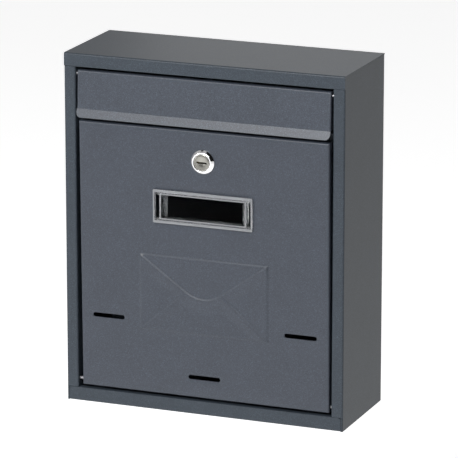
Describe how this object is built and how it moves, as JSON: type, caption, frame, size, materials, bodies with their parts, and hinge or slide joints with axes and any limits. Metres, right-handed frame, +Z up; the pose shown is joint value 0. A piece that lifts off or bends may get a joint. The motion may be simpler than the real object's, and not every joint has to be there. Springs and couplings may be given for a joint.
{
  "type": "wall mounted mailbox",
  "caption": "Wall mounted steel mailbox with a top-hung mail flap, a drop-down door with an embossed envelope, viewing slots, a clear name plate holder and a cam lock.",
  "frame": {"origin": "centre of the back face, in the plane of the wall, which is the centre of the four wall screw holes", "axes": "+X to the right as seen from the front, +Y into the wall, +Z up; the front faces -Y"},
  "size_m": [0.26, 0.1061, 0.315],
  "materials": {
    "case_paint": "fine textured powder coat, anthracite",
    "flap_paint": "fine textured powder coat, anthracite",
    "door_paint": "fine textured powder coat, anthracite",
    "hinge_pin": "bright zinc plated",
    "clear_plastic": "clear moulded plastic, slightly clouded",
    "lock_chrome": "chrome plated zinc",
    "zinc_plate": "zinc plated",
    "wafer_brass": "stamped brass",
    "spring_steel": "drawn spring wire"
  },
  "bodies": {
    "case": {"body_shell": "case_paint", "top_cover": "case_paint", "bottom_tray": "case_paint", "cross_rail": "case_paint", "flap_pin_left": "hinge_pin", "flap_pin_right": "hinge_pin", "door_pin_left": "hinge_pin", "door_pin_right": "hinge_pin"},
    "flap": {"mail_flap": "flap_paint"},
    "door": {"door_panel": "door_paint", "nameplate_holder": "clear_plastic", "nameplate_cover": "clear_plastic", "lock_body": "lock_chrome", "lock_washer": "zinc_plate", "lock_nut": "zinc_plate"},
    "lock": {"lock_plug": "lock_chrome", "lock_wafers": "wafer_brass", "wafer_springs": "spring_steel", "cam_stop_washer": "zinc_plate", "lock_cam": "zinc_plate", "cam_washer": "zinc_plate", "cam_screw": "zinc_plate"}
  },
  "joints": [
    {"name": "flap_hinge", "type": "hinge", "parent": "case", "child": "flap", "pos_m": [0, -0.096, 0.1393], "axis": [-1, 0, 0], "range_deg": [0, 110]},
    {"name": "door_hinge", "type": "hinge", "parent": "case", "child": "door", "pos_m": [0, -0.095, -0.1375], "axis": [1, 0, 0], "range_deg": [0, 108]},
    {"name": "lock_turn", "type": "hinge", "parent": "door", "child": "lock", "pos_m": [0.0012, -0.10293, 0.072], "axis": [0, 0.9999, 0.014], "range_deg": [0, 90]}
  ]
}
